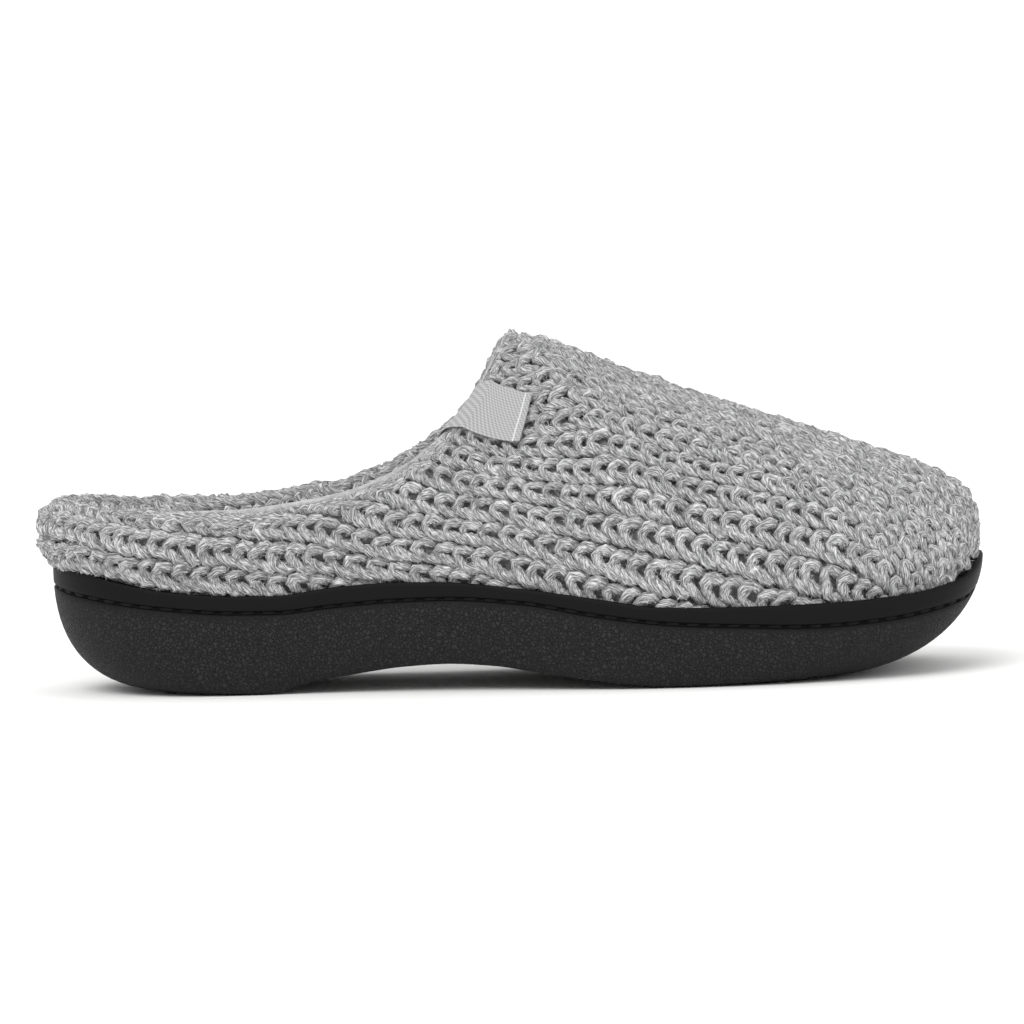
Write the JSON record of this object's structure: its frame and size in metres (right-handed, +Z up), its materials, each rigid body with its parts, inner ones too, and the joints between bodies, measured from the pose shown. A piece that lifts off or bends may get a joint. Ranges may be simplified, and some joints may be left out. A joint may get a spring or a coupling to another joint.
{
  "type": "knitted slipper",
  "caption": "Open-heeled slipper with a thick ribbed knit upper, a padded low heel collar, a small ribbon tab and a moulded cupsole with a stitch channel.",
  "frame": {"origin": "middle of the overall length and width, on the floor", "axes": "+X from heel to toe, +Z up, -Y to the outer side of the foot"},
  "size_m": [0.2618, 0.0972, 0.0955],
  "materials": {
    "sole_rubber": "matt, finely grained",
    "footbed_cloth": "soft pile",
    "knit_wool": "chunky heathered knit",
    "woven_ribbon": "fine twill weave"
  },
  "bodies": {
    "root": {"outsole": "sole_rubber", "insole": "footbed_cloth", "upper": "knit_wool", "label_tab": "woven_ribbon"}
  },
  "joints": []
}
